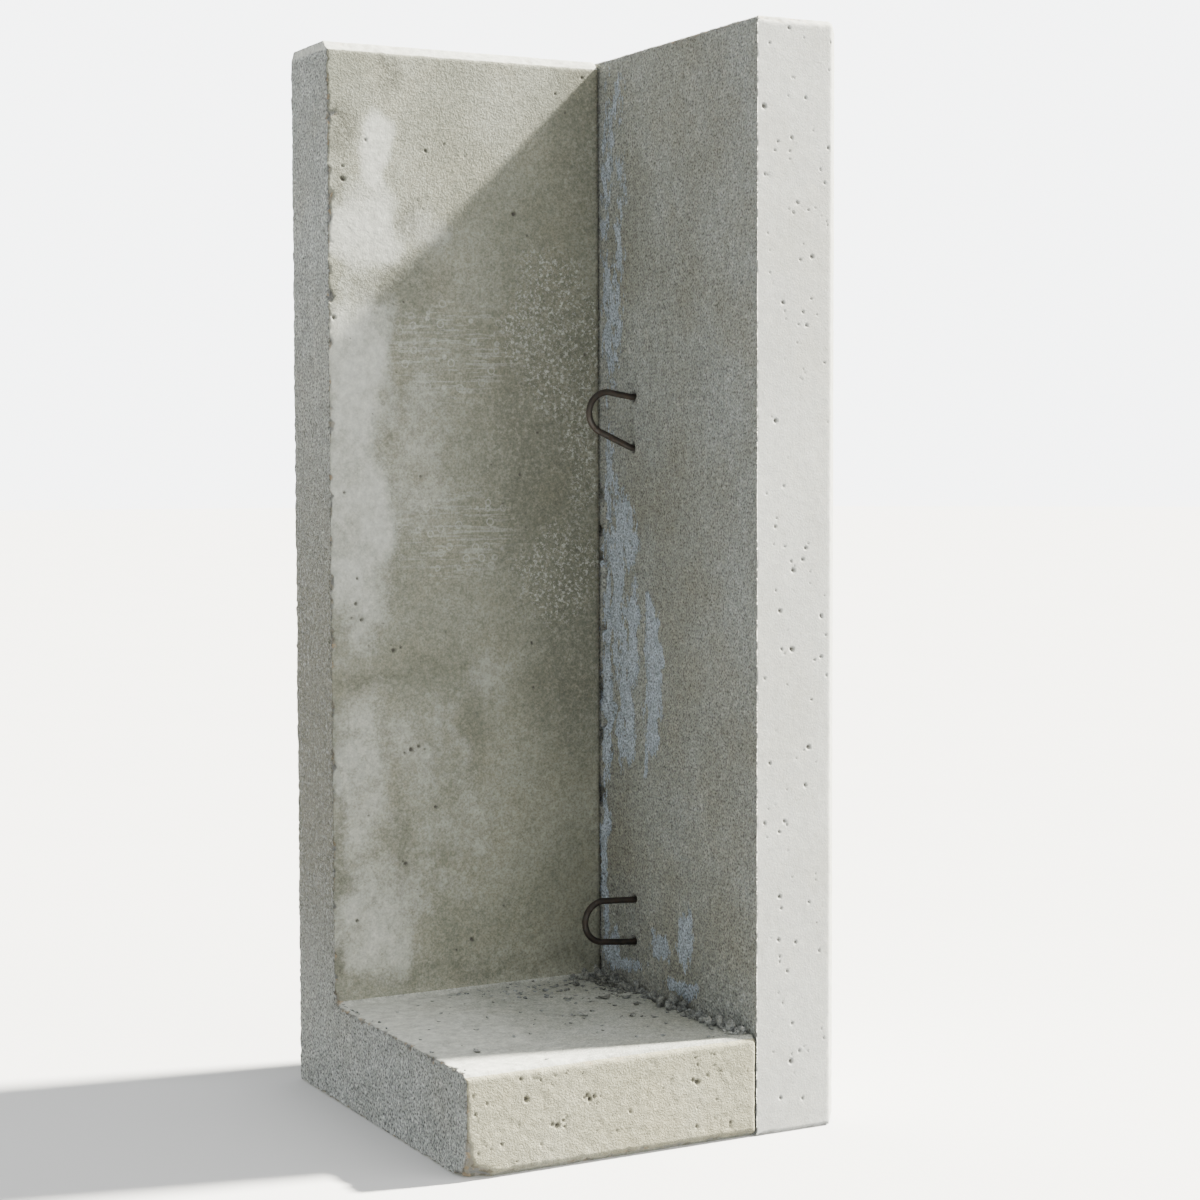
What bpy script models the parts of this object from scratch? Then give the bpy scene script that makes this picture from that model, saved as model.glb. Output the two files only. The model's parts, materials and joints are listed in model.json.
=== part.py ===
"""Outer corner unit of a precast concrete retaining wall, piece by piece as a casting yard makes it.

The side panel is cast first, lying flat, around a welded mesh. Two lifting loops and a row of
starter bars stand up out of it. The L-shaped piece, stem wall and foot in one, is then cast
against the panel around a cage of bent bars, and the starter bars tie the two castings together.

Metres, +Z up. X runs along the stem towards the panel, Y from the foot's front edge to the
stem's back, and the origin is the middle of the base.
"""

import math

import bmesh
import bpy
from mathutils import Vector

# Castings
HEIGHT = 1.300
LENGTH = 0.490  # along the stem, panel included
DEPTH = 0.500  # front of the foot to back of the stem, and the panel's width
STEM_THICKNESS = 0.120
FOOT_THICKNESS = 0.120
PANEL_THICKNESS = 0.115

# Edges that the mould's corner strips leave
STEM_TOP_CHAMFER = 0.012
FOOT_TOP_CHAMFER = 0.007
FOOT_BOTTOM_CHAMFER = 0.008
HAUNCH_RADIUS = 0.015  # in the corner between stem and foot
PANEL_FACE_CHAMFER = 0.012  # round the panel's outer face
PANEL_TOP_CHAMFER = 0.006  # the panel's other top edges

# Steel diameters
MAIN_BAR = 0.008
CROSS_BAR = 0.006
STARTER_BAR = 0.006
MESH_WIRE = 0.006
LOOP_BAR = 0.008

# Steel layout
COVER = 0.030  # concrete between a bar and the nearest surface
MAIN_BAR_COUNT = 3
MAIN_BEND_RADIUS = 0.020
FOOT_BAR_UPSTAND = 0.350  # how far a foot bar reaches up the stem
STEM_CROSS_BAR_COUNT = 5
STEM_CROSS_BAR_EDGE = 0.070  # highest and lowest cross bar to the stem's top and foot
FOOT_CROSS_BAR_COUNT = 2
FOOT_CROSS_BAR_EDGE = 0.050  # first and last cross bar to the foot's front and the stem's face
STARTER_LENGTH = 0.240  # starter bar inside the L-shaped piece
MESH_UPRIGHT_COUNT = 4
MESH_RUNG_COUNT = 9
WELD_DEPTH = 0.0006  # how far two mesh wires sink into each other at a weld

# Lifting loops
LOOP_Y_FROM_STEM = 0.085  # loop's plane to the stem's inner face
LOOP_BEND_DIAMETER = 0.052
LOOP_HOOK_RADIUS = 0.016
LOOP_HOOK_LENGTH = 0.060
UPPER_LOOP = {"height": 0.8375, "leg_spacing": 0.064, "reach": 0.062, "tilt": math.radians(19)}
LOWER_LOOP = {"height": 0.2045, "leg_spacing": 0.054, "reach": 0.068, "tilt": math.radians(4)}

# Spacers that hold the steel off the mould
SPACER_TIP_DIAMETER = 0.012
SPACER_SEAT_DIAMETER = 0.022

# Fits and roundness
TOUCH_GAP = 0.0003
BAR_SIDES = 8
BEND_STEPS = 5
LOOP_STEPS = 14
HAUNCH_STEPS = 4
SPACER_SIDES = 16

# Faces of the castings
LEFT = -LENGTH / 2
RIGHT = LENGTH / 2
FRONT = -DEPTH / 2
BACK = DEPTH / 2
STEM_FACE = BACK - STEM_THICKNESS
PANEL_FACE = RIGHT - PANEL_THICKNESS
JOINT = PANEL_FACE - TOUCH_GAP  # the end of the L-shaped piece, against the panel

# Axes of the steel layers
MAIN_INSET = COVER + MAIN_BAR / 2
STEM_BAR_Y = STEM_FACE + MAIN_INSET
STEM_BAR_Z = MAIN_INSET
FOOT_BAR_Y = BACK - MAIN_INSET
FOOT_BAR_Z = FOOT_THICKNESS - MAIN_INSET
MAIN_TO_CROSS = (MAIN_BAR + CROSS_BAR) / 2 + TOUCH_GAP
MAIN_TO_STARTER = (MAIN_BAR + STARTER_BAR) / 2 + TOUCH_GAP
CROSS_TO_STARTER = (CROSS_BAR + STARTER_BAR) / 2 + TOUCH_GAP
MESH_UPRIGHT_X = RIGHT - COVER - MESH_WIRE / 2
MESH_RUNG_X = MESH_UPRIGHT_X - MESH_WIRE + WELD_DEPTH
MESH_BACK_X = MESH_RUNG_X - MESH_WIRE / 2 - TOUCH_GAP  # the nearest that other steel comes

X_AXIS = Vector((1, 0, 0))
Y_AXIS = Vector((0, 1, 0))
Z_AXIS = Vector((0, 0, 1))

# Base colour, metallic, roughness
CONCRETE_L = ((0.50, 0.49, 0.44, 1), 0.0, 0.90)
CONCRETE_PANEL = ((0.60, 0.60, 0.57, 1), 0.0, 0.85)
SPACER_CONCRETE = ((0.36, 0.36, 0.35, 1), 0.0, 0.90)
LOOP_STEEL = ((0.060, 0.042, 0.032, 1), 0.5, 0.65)
CAGE_STEEL = ((0.22, 0.16, 0.12, 1), 0.7, 0.60)


def clear_scene():
    for item in list(bpy.data.objects):
        bpy.data.objects.remove(item, do_unlink=True)


def make_material(name, look):
    """A Principled material from a base colour, a metallic value and a roughness."""
    color, metallic, roughness = look
    material = bpy.data.materials.new(name)
    material.use_nodes = True
    shader = material.node_tree.nodes["Principled BSDF"]
    shader.inputs["Base Color"].default_value = color
    shader.inputs["Metallic"].default_value = metallic
    shader.inputs["Roughness"].default_value = roughness
    return material


def finish_mesh(shape, name):
    """Turn a bmesh into a mesh whose faces point out."""
    bmesh.ops.recalc_face_normals(shape, faces=shape.faces)
    mesh = bpy.data.meshes.new(name)
    shape.to_mesh(mesh)
    shape.free()
    return mesh


def place(name, mesh, collection, material=None):
    """Put a mesh in the scene, under a collection, with its material."""
    piece = bpy.data.objects.new(name, mesh)
    if material:
        mesh.materials.append(material)
    collection.objects.link(piece)
    return piece


def round_shading(piece):
    """Smooth shading across a bar's facets, with its cut ends kept sharp."""
    piece.data.shade_smooth()
    piece.data.set_sharp_from_angle(angle=math.radians(60))
    return piece


def spread(low, high, count):
    """Evenly spaced places from low to high, both included."""
    return [low + (high - low) * step / (count - 1) for step in range(count)]


def arc(center, across, along, radius, start, end, steps):
    """Points of an arc; angles run from the direction across towards the direction along."""
    points = []
    for angle in spread(start, end, steps + 1):
        points.append(center + radius * (math.cos(angle) * across + math.sin(angle) * along))
    return points


def l_path(start, corner, end, radius):
    """A path from start to end with one rounded right-angled bend at corner."""
    arriving = (corner - start).normalized()
    leaving = (end - corner).normalized()
    center = corner - radius * arriving + radius * leaving
    bend = arc(center, -leaving, arriving, radius, 0, math.pi / 2, BEND_STEPS)
    return [start, *bend, end]


def bar_shape(path, plane_normal, diameter, grow=0.0):
    """A bar swept along a flat path, its flats at the bar's radius and its bends mitred.

    With grow the bar is that much larger all round, ends included, for the channel it lies in.
    """
    radius = (diameter / 2 + grow) / math.cos(math.pi / BAR_SIDES)
    first_run = (path[1] - path[0]).normalized()
    last_run = (path[-1] - path[-2]).normalized()
    points = [path[0] - first_run * grow, *path[1:-1], path[-1] + last_run * grow]
    shape = bmesh.new()
    rings = []
    for index, point in enumerate(points):
        arriving = (point - points[index - 1]).normalized() if index else first_run
        leaving = (points[index + 1] - point).normalized() if index + 1 < len(points) else last_run
        tangent = (arriving + leaving).normalized()
        side = tangent.cross(plane_normal) / tangent.dot(arriving)
        ring = []
        for corner in range(BAR_SIDES):
            angle = 2 * math.pi * (corner + 0.5) / BAR_SIDES
            offset = radius * (math.cos(angle) * plane_normal + math.sin(angle) * side)
            ring.append(shape.verts.new(point + offset))
        rings.append(ring)
    for ring, following in zip(rings, rings[1:]):
        for corner in range(BAR_SIDES):
            after = (corner + 1) % BAR_SIDES
            shape.faces.new((ring[corner], ring[after], following[after], following[corner]))
    shape.faces.new(rings[0])
    shape.faces.new(rings[-1])
    return shape


def as_helper(name, mesh, collections):
    """A shape that only cuts or joins: kept out of the finished part."""
    helper = bpy.data.objects.new(name, mesh)
    helper.hide_render = True
    helper.display_type = "WIRE"
    for collection in collections:
        collection.objects.link(helper)


def add_bar(name, path, plane_normal, diameter, material, channels):
    """A bar, and the channel it lies in cut from each casting whose collection is in channels."""
    shape = bar_shape(path, plane_normal, diameter)
    bar = place(name, finish_mesh(shape, name), bpy.context.scene.collection, material)
    round_shading(bar)
    channel = bar_shape(path, plane_normal, diameter, grow=TOUCH_GAP)
    as_helper(name + ".channel", finish_mesh(channel, name + ".channel"), channels)


def cut_with(piece, collection):
    """Subtract every shape of a collection from a casting."""
    modifier = piece.modifiers.new("Channels", "BOOLEAN")
    modifier.operation = "DIFFERENCE"
    modifier.operand_type = "COLLECTION"
    modifier.collection = collection
    modifier.solver = "EXACT"


def cut_edge(shape, corner, outward, width):
    """Plane the edge through corner down to a chamfer that takes width off each side."""
    normal = outward.normalized()
    point = corner - normal * width / math.sqrt(2)
    everything = [*shape.verts, *shape.edges, *shape.faces]
    cut = bmesh.ops.bisect_plane(
        shape, geom=everything, plane_co=point, plane_no=normal, clear_outer=True
    )
    rim = [item for item in cut["geom_cut"] if isinstance(item, bmesh.types.BMEdge)]
    bmesh.ops.holes_fill(shape, edges=rim)


def l_profile():
    """Outline of stem and foot seen along X, as points in the plane of the left end."""
    haunch_center = Vector((LEFT, STEM_FACE - HAUNCH_RADIUS, FOOT_THICKNESS + HAUNCH_RADIUS))
    haunch = arc(haunch_center, -Z_AXIS, Y_AXIS, HAUNCH_RADIUS, 0, math.pi / 2, HAUNCH_STEPS)
    foot = [
        (FRONT + FOOT_BOTTOM_CHAMFER, 0),
        (FRONT, FOOT_BOTTOM_CHAMFER),
        (FRONT, FOOT_THICKNESS - FOOT_TOP_CHAMFER),
        (FRONT + FOOT_TOP_CHAMFER, FOOT_THICKNESS),
    ]
    stem = [
        (STEM_FACE, HEIGHT - STEM_TOP_CHAMFER),
        (STEM_FACE + STEM_TOP_CHAMFER, HEIGHT),
        (BACK - STEM_TOP_CHAMFER, HEIGHT),
        (BACK, HEIGHT - STEM_TOP_CHAMFER),
        (BACK, 0),
    ]
    before = [Vector((LEFT, y, z)) for y, z in foot]
    after = [Vector((LEFT, y, z)) for y, z in stem]
    return [*before, *haunch, *after]


def build_stem_and_foot(material, channels):
    shape = bmesh.new()
    outline = shape.faces.new([shape.verts.new(point) for point in l_profile()])
    grown = bmesh.ops.extrude_face_region(shape, geom=[outline])
    moved = [item for item in grown["geom"] if isinstance(item, bmesh.types.BMVert)]
    bmesh.ops.translate(shape, verts=moved, vec=(JOINT - LEFT, 0, 0))
    mesh = finish_mesh(shape, "stem_and_foot")
    casting = place("stem_and_foot", mesh, bpy.context.scene.collection, material)
    cut_with(casting, channels)


def build_side_panel(material, channels):
    shape = bmesh.new()
    bmesh.ops.create_cube(shape, size=1)
    bmesh.ops.scale(shape, verts=shape.verts, vec=(PANEL_THICKNESS, DEPTH, HEIGHT))
    middle = ((PANEL_FACE + RIGHT) / 2, 0, HEIGHT / 2)
    bmesh.ops.translate(shape, verts=shape.verts, vec=middle)
    front_top = Vector((RIGHT, FRONT, HEIGHT))
    back_bottom = Vector((RIGHT, BACK, 0))
    inner_top = Vector((PANEL_FACE, FRONT, HEIGHT))
    for corner, outward in (
        (front_top, X_AXIS - Y_AXIS),
        (front_top, X_AXIS + Z_AXIS),
        (back_bottom, X_AXIS + Y_AXIS),
        (back_bottom, X_AXIS - Z_AXIS),
    ):
        cut_edge(shape, corner, outward, PANEL_FACE_CHAMFER)
    for corner, outward in (
        (inner_top, Z_AXIS - X_AXIS),
        (inner_top, Z_AXIS - Y_AXIS),
        (Vector((RIGHT, BACK, HEIGHT)), Z_AXIS + Y_AXIS),
    ):
        cut_edge(shape, corner, outward, PANEL_TOP_CHAMFER)
    mesh = finish_mesh(shape, "side_panel")
    casting = place("side_panel", mesh, bpy.context.scene.collection, material)
    cut_with(casting, channels)


def main_bar_places():
    """Where along the stem the bent bars of the cage stand."""
    return spread(LEFT + MAIN_INSET, JOINT - MAIN_INSET - MAIN_BAR, MAIN_BAR_COUNT)


def build_main_bars(material, channels):
    """Bent bars of the cage: stem bars with a toe in the foot, foot bars with a leg up the stem."""
    for number, x in enumerate(main_bar_places(), start=1):
        stem_top = Vector((x, STEM_BAR_Y, HEIGHT - COVER))
        stem_corner = Vector((x, STEM_BAR_Y, STEM_BAR_Z))
        stem_toe = Vector((x, FRONT + COVER, STEM_BAR_Z))
        path = l_path(stem_top, stem_corner, stem_toe, MAIN_BEND_RADIUS)
        add_bar(f"stem_bar_{number}", path, X_AXIS, MAIN_BAR, material, channels)
        beside = x + MAIN_BAR + TOUCH_GAP
        foot_tip = Vector((beside, FRONT + COVER, FOOT_BAR_Z))
        foot_corner = Vector((beside, FOOT_BAR_Y, FOOT_BAR_Z))
        foot_top = Vector((beside, FOOT_BAR_Y, FOOT_BAR_Z + FOOT_BAR_UPSTAND))
        path = l_path(foot_tip, foot_corner, foot_top, MAIN_BEND_RADIUS)
        add_bar(f"foot_bar_{number}", path, X_AXIS, MAIN_BAR, material, channels)


def u_path(near, far, turn):
    """A hairpin in a flat plane: from near's end round a half circle, and back to far's end.

    near and far start where the legs end in the L-shaped piece; turn is the bar's furthest X.
    """
    radius = (far - near).length / 2
    across = (near - far).normalized()
    center = (near + far) / 2
    center.x = turn - radius
    bend = arc(center, across, X_AXIS, radius, 0, math.pi, 2 * BEND_STEPS)
    return [near, *bend, far]


def stem_cross_bar_heights():
    low = FOOT_THICKNESS + STEM_CROSS_BAR_EDGE
    return spread(low, HEIGHT - STEM_CROSS_BAR_EDGE, STEM_CROSS_BAR_COUNT)


def foot_cross_bar_places():
    low = FRONT + FOOT_CROSS_BAR_EDGE
    return spread(low, STEM_FACE - FOOT_CROSS_BAR_EDGE, FOOT_CROSS_BAR_COUNT)


def build_stem_ties(material, cage_channels, both_channels):
    """Cross bars along the stem, each with a starter bar tied under it."""
    starter_end = JOINT - STARTER_LENGTH
    turn = MESH_BACK_X - STARTER_BAR / 2
    for number, z in enumerate(stem_cross_bar_heights(), start=1):
        y = STEM_BAR_Y + MAIN_TO_CROSS
        path = [Vector((LEFT + COVER, y, z)), Vector((JOINT, y, z))]
        add_bar(f"stem_cross_bar_{number}", path, Z_AXIS, CROSS_BAR, material, cage_channels)
        starter_z = z - CROSS_TO_STARTER
        near = Vector((starter_end, STEM_BAR_Y + MAIN_TO_STARTER, starter_z))
        far = Vector((starter_end, FOOT_BAR_Y - MAIN_TO_STARTER, starter_z))
        path = u_path(near, far, turn)
        name = f"stem_starter_bar_{number}"
        add_bar(name, path, Z_AXIS, STARTER_BAR, material, both_channels)


def build_foot_ties(material, cage_channels, both_channels):
    """Cross bars along the foot in two layers, each pair with a starter bar tied beside it."""
    starter_end = JOINT - STARTER_LENGTH
    turn = MESH_BACK_X - STARTER_BAR / 2
    for number, y in enumerate(foot_cross_bar_places(), start=1):
        layers = {
            "bottom": STEM_BAR_Z + MAIN_TO_CROSS,
            "top": FOOT_BAR_Z - MAIN_TO_CROSS,
        }
        for layer, z in layers.items():
            path = [Vector((LEFT + COVER, y, z)), Vector((JOINT, y, z))]
            name = f"foot_{layer}_cross_bar_{number}"
            add_bar(name, path, Z_AXIS, CROSS_BAR, material, cage_channels)
        starter_y = y + CROSS_TO_STARTER
        near = Vector((starter_end, starter_y, STEM_BAR_Z + MAIN_TO_STARTER))
        far = Vector((starter_end, starter_y, FOOT_BAR_Z - MAIN_TO_STARTER))
        path = u_path(near, far, turn)
        name = f"foot_starter_bar_{number}"
        add_bar(name, path, Y_AXIS, STARTER_BAR, material, both_channels)


def mesh_upright_places():
    return spread(FRONT + COVER + MESH_WIRE, BACK - COVER - MESH_WIRE, MESH_UPRIGHT_COUNT)


def mesh_wire_paths():
    """Every wire of the panel's mesh: uprights against the outer face, rungs welded behind them."""
    paths = []
    for y in mesh_upright_places():
        paths.append([Vector((MESH_UPRIGHT_X, y, COVER)), Vector((MESH_UPRIGHT_X, y, HEIGHT - COVER))])
    for z in spread(COVER + MESH_WIRE, HEIGHT - COVER - MESH_WIRE, MESH_RUNG_COUNT):
        paths.append([Vector((MESH_RUNG_X, FRONT + COVER, z)), Vector((MESH_RUNG_X, BACK - COVER, z))])
    return paths


def build_panel_mesh(material, channels):
    """The welded mesh of the panel, one piece, and the channels that its wires lie in."""
    wires = bpy.data.collections.new("mesh_wires")
    bpy.context.scene.collection.children.link(wires)
    mat = None
    for number, path in enumerate(mesh_wire_paths(), start=1):
        wire = finish_mesh(bar_shape(path, X_AXIS, MESH_WIRE), f"wire_{number}")
        if mat is None:
            mat = place("panel_mesh", wire, bpy.context.scene.collection, material)
        else:
            as_helper(f"wire_{number}", wire, [wires])
        channel = bar_shape(path, X_AXIS, MESH_WIRE, grow=TOUCH_GAP)
        as_helper(f"wire_{number}.channel", finish_mesh(channel, f"wire_{number}.channel"), channels)
    weld = mat.modifiers.new("Welds", "BOOLEAN")
    weld.operation = "UNION"
    weld.operand_type = "COLLECTION"
    weld.collection = wires
    weld.solver = "EXACT"


def loop_path(loop, y):
    """A lifting loop: a hook in the panel, out, round a half circle, back in, and a second hook."""
    face = Vector((PANEL_FACE, y, loop["height"]))
    outward = Vector((-math.cos(loop["tilt"]), 0, math.sin(loop["tilt"])))
    upward = Vector((math.sin(loop["tilt"]), 0, math.cos(loop["tilt"])))
    bend_radius = LOOP_BEND_DIAMETER / 2
    center = face + outward * (loop["reach"] - bend_radius)
    bend = arc(center, upward, outward, bend_radius, 0, math.pi, LOOP_STEPS)
    half_spacing = Z_AXIS * loop["leg_spacing"] / 2
    hook_x = MESH_BACK_X - LOOP_BAR / 2
    hooks = []
    for side in (1, -1):
        leg_out = face + side * half_spacing
        corner = Vector((hook_x, y, leg_out.z))
        tip = corner + side * Z_AXIS * (LOOP_HOOK_RADIUS + LOOP_HOOK_LENGTH)
        hooks.append(l_path(tip, corner, leg_out, LOOP_HOOK_RADIUS))
    return [*hooks[0], *bend, *reversed(hooks[1])]


def build_lifting_loops(material, channels):
    y = STEM_FACE - LOOP_Y_FROM_STEM
    for name, loop in (("upper_lifting_loop", UPPER_LOOP), ("lower_lifting_loop", LOWER_LOOP)):
        add_bar(name, loop_path(loop, y), Y_AXIS, LOOP_BAR, material, channels)


def add_spacer(name, tip, inward, material, channels):
    """A cone of fibre concrete from the mould's face to the steel, its tip flush with the face."""
    turn = Z_AXIS.rotation_difference(inward).to_matrix().to_4x4()
    seat_radius = SPACER_SEAT_DIAMETER / 2
    tip_radius = SPACER_TIP_DIAMETER / 2
    for grow in (0, TOUCH_GAP):
        shape = bmesh.new()
        length = COVER - TOUCH_GAP + 2 * grow
        bmesh.ops.create_cone(
            shape,
            cap_ends=True,
            segments=SPACER_SIDES,
            radius1=tip_radius + grow,
            radius2=seat_radius + grow,
            depth=length,
        )
        bmesh.ops.transform(shape, matrix=turn, verts=shape.verts)
        bmesh.ops.translate(shape, verts=shape.verts, vec=tip + inward * (length / 2 - grow))
        if grow:
            as_helper(name + ".channel", finish_mesh(shape, name + ".channel"), channels)
        else:
            spacer = place(name, finish_mesh(shape, name), bpy.context.scene.collection, material)
            round_shading(spacer)


def build_spacers(material, cage_channels, panel_channels):
    """Spacers under the outer main bars, behind their legs, and under the panel's mesh."""
    main_bars = main_bar_places()
    for number, x in enumerate((main_bars[0], main_bars[-1]), start=1):
        under = Vector((x, (FRONT + STEM_FACE) / 2, 0))
        add_spacer(f"foot_spacer_{number}", under, Z_AXIS, material, cage_channels)
        behind = Vector((x + MAIN_BAR + TOUCH_GAP, BACK, FOOT_BAR_Z + FOOT_BAR_UPSTAND / 2))
        add_spacer(f"stem_spacer_{number}", behind, -Y_AXIS, material, cage_channels)
    uprights = mesh_upright_places()
    number = 1
    for y in (uprights[0], uprights[-1]):
        for z in (HEIGHT / 4, 3 * HEIGHT / 4):
            outside = Vector((RIGHT, y, z))
            add_spacer(f"panel_spacer_{number}", outside, -X_AXIS, material, panel_channels)
            number += 1


def helper_collection(name):
    collection = bpy.data.collections.new(name)
    bpy.context.scene.collection.children.link(collection)
    return collection


def build_unit():
    clear_scene()
    cage_steel = make_material("cage_steel", CAGE_STEEL)
    loop_steel = make_material("loop_steel", LOOP_STEEL)
    spacer_concrete = make_material("spacer_concrete", SPACER_CONCRETE)
    in_cage = helper_collection("channels_in_stem_and_foot")
    in_panel = helper_collection("channels_in_side_panel")
    build_main_bars(cage_steel, [in_cage])
    build_stem_ties(cage_steel, [in_cage], [in_cage, in_panel])
    build_foot_ties(cage_steel, [in_cage], [in_cage, in_panel])
    build_panel_mesh(cage_steel, [in_panel])
    build_lifting_loops(loop_steel, [in_panel])
    build_spacers(spacer_concrete, [in_cage], [in_panel])
    build_stem_and_foot(make_material("concrete_l", CONCRETE_L), in_cage)
    build_side_panel(make_material("concrete_panel", CONCRETE_PANEL), in_panel)


build_unit()
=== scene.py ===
"""Looks for a precast concrete retaining-wall corner unit, built round its CAD model.

Both castings are meshed again as fine closed shells that stay just inside the CAD solids. Each of
their sides has its own relief, air holes, chips and stains, kept as depths and as attributes that
the concrete materials read. Among these are painted shade in the air holes, the inner corners and
the crust's crevices, and painted light on the top edge, the foot and the stem's left side; the
grain's colour carries painted shade and highlight by its height, and the crumbs' dark tone is
partly painted shade. Slurry flakes and crumbs lie on the foot, and the lifting loops are
rebuilt as round rusty bars. Metres, +Z up, in the CAD model's frame.
"""

import itertools
import json
import math
from dataclasses import dataclass, field

import bmesh
import bpy
import numpy as np
from mathutils import Matrix, Vector, noise


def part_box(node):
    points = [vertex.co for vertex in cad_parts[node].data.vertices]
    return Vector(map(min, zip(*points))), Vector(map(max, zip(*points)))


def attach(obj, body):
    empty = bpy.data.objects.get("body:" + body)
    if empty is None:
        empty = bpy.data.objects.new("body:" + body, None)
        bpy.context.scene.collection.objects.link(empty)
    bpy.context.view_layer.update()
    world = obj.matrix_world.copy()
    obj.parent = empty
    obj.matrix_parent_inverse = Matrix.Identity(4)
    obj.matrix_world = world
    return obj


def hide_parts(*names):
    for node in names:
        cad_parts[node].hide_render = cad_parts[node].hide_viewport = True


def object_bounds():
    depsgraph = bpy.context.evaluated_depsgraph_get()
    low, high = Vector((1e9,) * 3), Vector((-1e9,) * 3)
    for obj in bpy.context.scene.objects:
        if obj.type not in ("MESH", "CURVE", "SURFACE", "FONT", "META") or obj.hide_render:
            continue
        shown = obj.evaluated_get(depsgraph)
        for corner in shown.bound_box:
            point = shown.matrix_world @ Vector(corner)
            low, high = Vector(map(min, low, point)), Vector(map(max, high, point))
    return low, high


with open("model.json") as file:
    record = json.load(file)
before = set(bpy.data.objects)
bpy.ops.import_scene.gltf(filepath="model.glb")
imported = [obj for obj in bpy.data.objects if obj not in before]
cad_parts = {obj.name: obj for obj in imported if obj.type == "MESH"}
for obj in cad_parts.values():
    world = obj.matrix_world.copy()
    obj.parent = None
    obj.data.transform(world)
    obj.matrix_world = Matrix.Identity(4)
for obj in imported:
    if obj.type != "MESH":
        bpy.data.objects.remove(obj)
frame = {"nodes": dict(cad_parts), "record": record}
CAD_LOW, CAD_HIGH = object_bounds()
BODY = "root"

# Places, all read from the CAD model
LEFT, FRONT, GROUND = CAD_LOW
RIGHT, BACK, TOP = CAD_HIGH
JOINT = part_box("stem_and_foot")[1].x
PANEL_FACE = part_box("side_panel")[0].x
CASTING = [vertex.co for vertex in frame["nodes"]["stem_and_foot"].data.vertices]
FOOT_TOP = max(co.z for co in CASTING if co.y < 0)
STEM_FACE = min(co.y for co in CASTING if co.z > TOP / 2)

# Edges, as in the CAD model
STEM_TOP_CHAMFER = 0.012
FOOT_TOP_CHAMFER = 0.007
FOOT_BOTTOM_CHAMFER = 0.008
HAUNCH_RADIUS = 0.015
PANEL_FACE_CHAMFER = 0.012
PANEL_TOP_CHAMFER = 0.006

# Lifting loops, as in the CAD model
LOOP_BAR = 0.008
LOOP_RUST = 0.03  # how much the rust swells the bar, as a share of its radius
LOOP_RUST_SIZE = 0.004
LOOP_Y = STEM_FACE - 0.085
LOOP_BEND_RADIUS = 0.026
LOOP_EMBEDDED = 0.020  # how far each leg is shown inside the panel
LOOPS = {
    "upper_lifting_loop": {"height": 0.8375, "spacing": 0.064, "reach": 0.062, "tilt": 19},
    "lower_lifting_loop": {"height": 0.2045, "spacing": 0.054, "reach": 0.068, "tilt": 4},
}
LOOP_SIDES = 20  # flats round a bar
LOOP_TURN_POINTS = 33  # along the half circle
LOOP_LEG_POINTS = 12  # along each straight leg
# The hollow round each leg is also darkened with painted shade.
LEG_HOLLOW_RADIUS = 0.0070  # the dip in the concrete round each leg

# Meshing: cells start this big and halve where a side, an edge or a hole asks for less
COARSE_CELL = 0.012
MEDIUM_CELL = 0.006
FINE_CELL = 0.003
FINEST_CELL = 0.0015
HALVINGS = 3
EDGE_BAND = 0.006  # fine cells this far from a worn edge
EDGE_REACH = 0.040  # an edge's cut acts this far from it at most
EDGE_SLACK = 0.002  # and this far outside its planes
OVERSIZE = 1.35  # a face halves when it is this many times as long as wanted
BROKEN_DEPTHS = (0.0004, 0.0018)  # wear at which stone starts to show, and shows fully
ON_PLANE = 1e-5
HOLE_DEPTH_LIMIT = 0.004
SKIN = 0.0003  # relief never comes nearer to the CAD plane than this

SEED = 11


# Noise

OCTAVES = 3


def lattice(cells, seed):
    """A repeatable value from -1 to 1 for each whole-number cell."""
    mixed = cells[:, 0] * 73856093 ^ cells[:, 1] * 19349663 ^ cells[:, 2] * 83492791 ^ seed * 40503
    mixed = mixed & 0xFFFFFFFF
    mixed = (mixed ^ mixed >> 15) * 1274126177 & 0xFFFFFFFF
    mixed = (mixed ^ mixed >> 13) * 668265263 & 0xFFFFFFFF
    return (mixed >> 8 & 0xFFFF) / 32767.5 - 1


def smooth_noise(points, size, seed):
    """Noise from -1 to 1 whose lumps are about size metres across; size may differ by axis."""
    scaled = points / np.asarray(size, float)
    base = np.floor(scaled)
    part = scaled - base
    part = part * part * (3 - 2 * part)
    base = base.astype(np.int64)
    total = np.zeros(len(points))
    for corner in itertools.product((0, 1), repeat=3):
        weight = np.prod(np.where(corner, part, 1 - part), axis=1)
        total += weight * lattice(base + np.array(corner), seed)
    return total


def rough_noise(points, size, seed):
    """Smooth noise with finer and weaker noise added, about -1 to 1."""
    total = np.zeros(len(points))
    for octave in range(OCTAVES):
        finer = np.asarray(size, float) / 2**octave
        total += smooth_noise(points, finer, seed + octave) / 2**octave
    return total / 1.5


def fade(value, low, high):
    """0 below low, 1 above high and a smooth step between them."""
    share = np.clip((value - low) / (high - low), 0, 1)
    return share * share * (3 - 2 * share)


# Sides, edges and holes of a casting

@dataclass
class Side:
    """One flat side: its plane, corners, material, finest cell, relief and air holes."""

    axis: int
    outward: int
    low: tuple
    high: tuple
    material: str
    cell: float = COARSE_CELL
    relief: object = None
    holes: list = field(default_factory=list)

    @property
    def place(self):
        return self.high[self.axis] if self.outward > 0 else self.low[self.axis]

    @property
    def across(self):
        return [axis for axis in range(3) if axis != self.axis]

    def holds(self, points):
        """Which points lie on the side."""
        low = np.array(self.low) - ON_PLANE
        high = np.array(self.high) + ON_PLANE
        flush = np.abs(points[:, self.axis] - self.place) < ON_PLANE
        return flush & np.all((points > low) & (points < high), axis=1)


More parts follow.
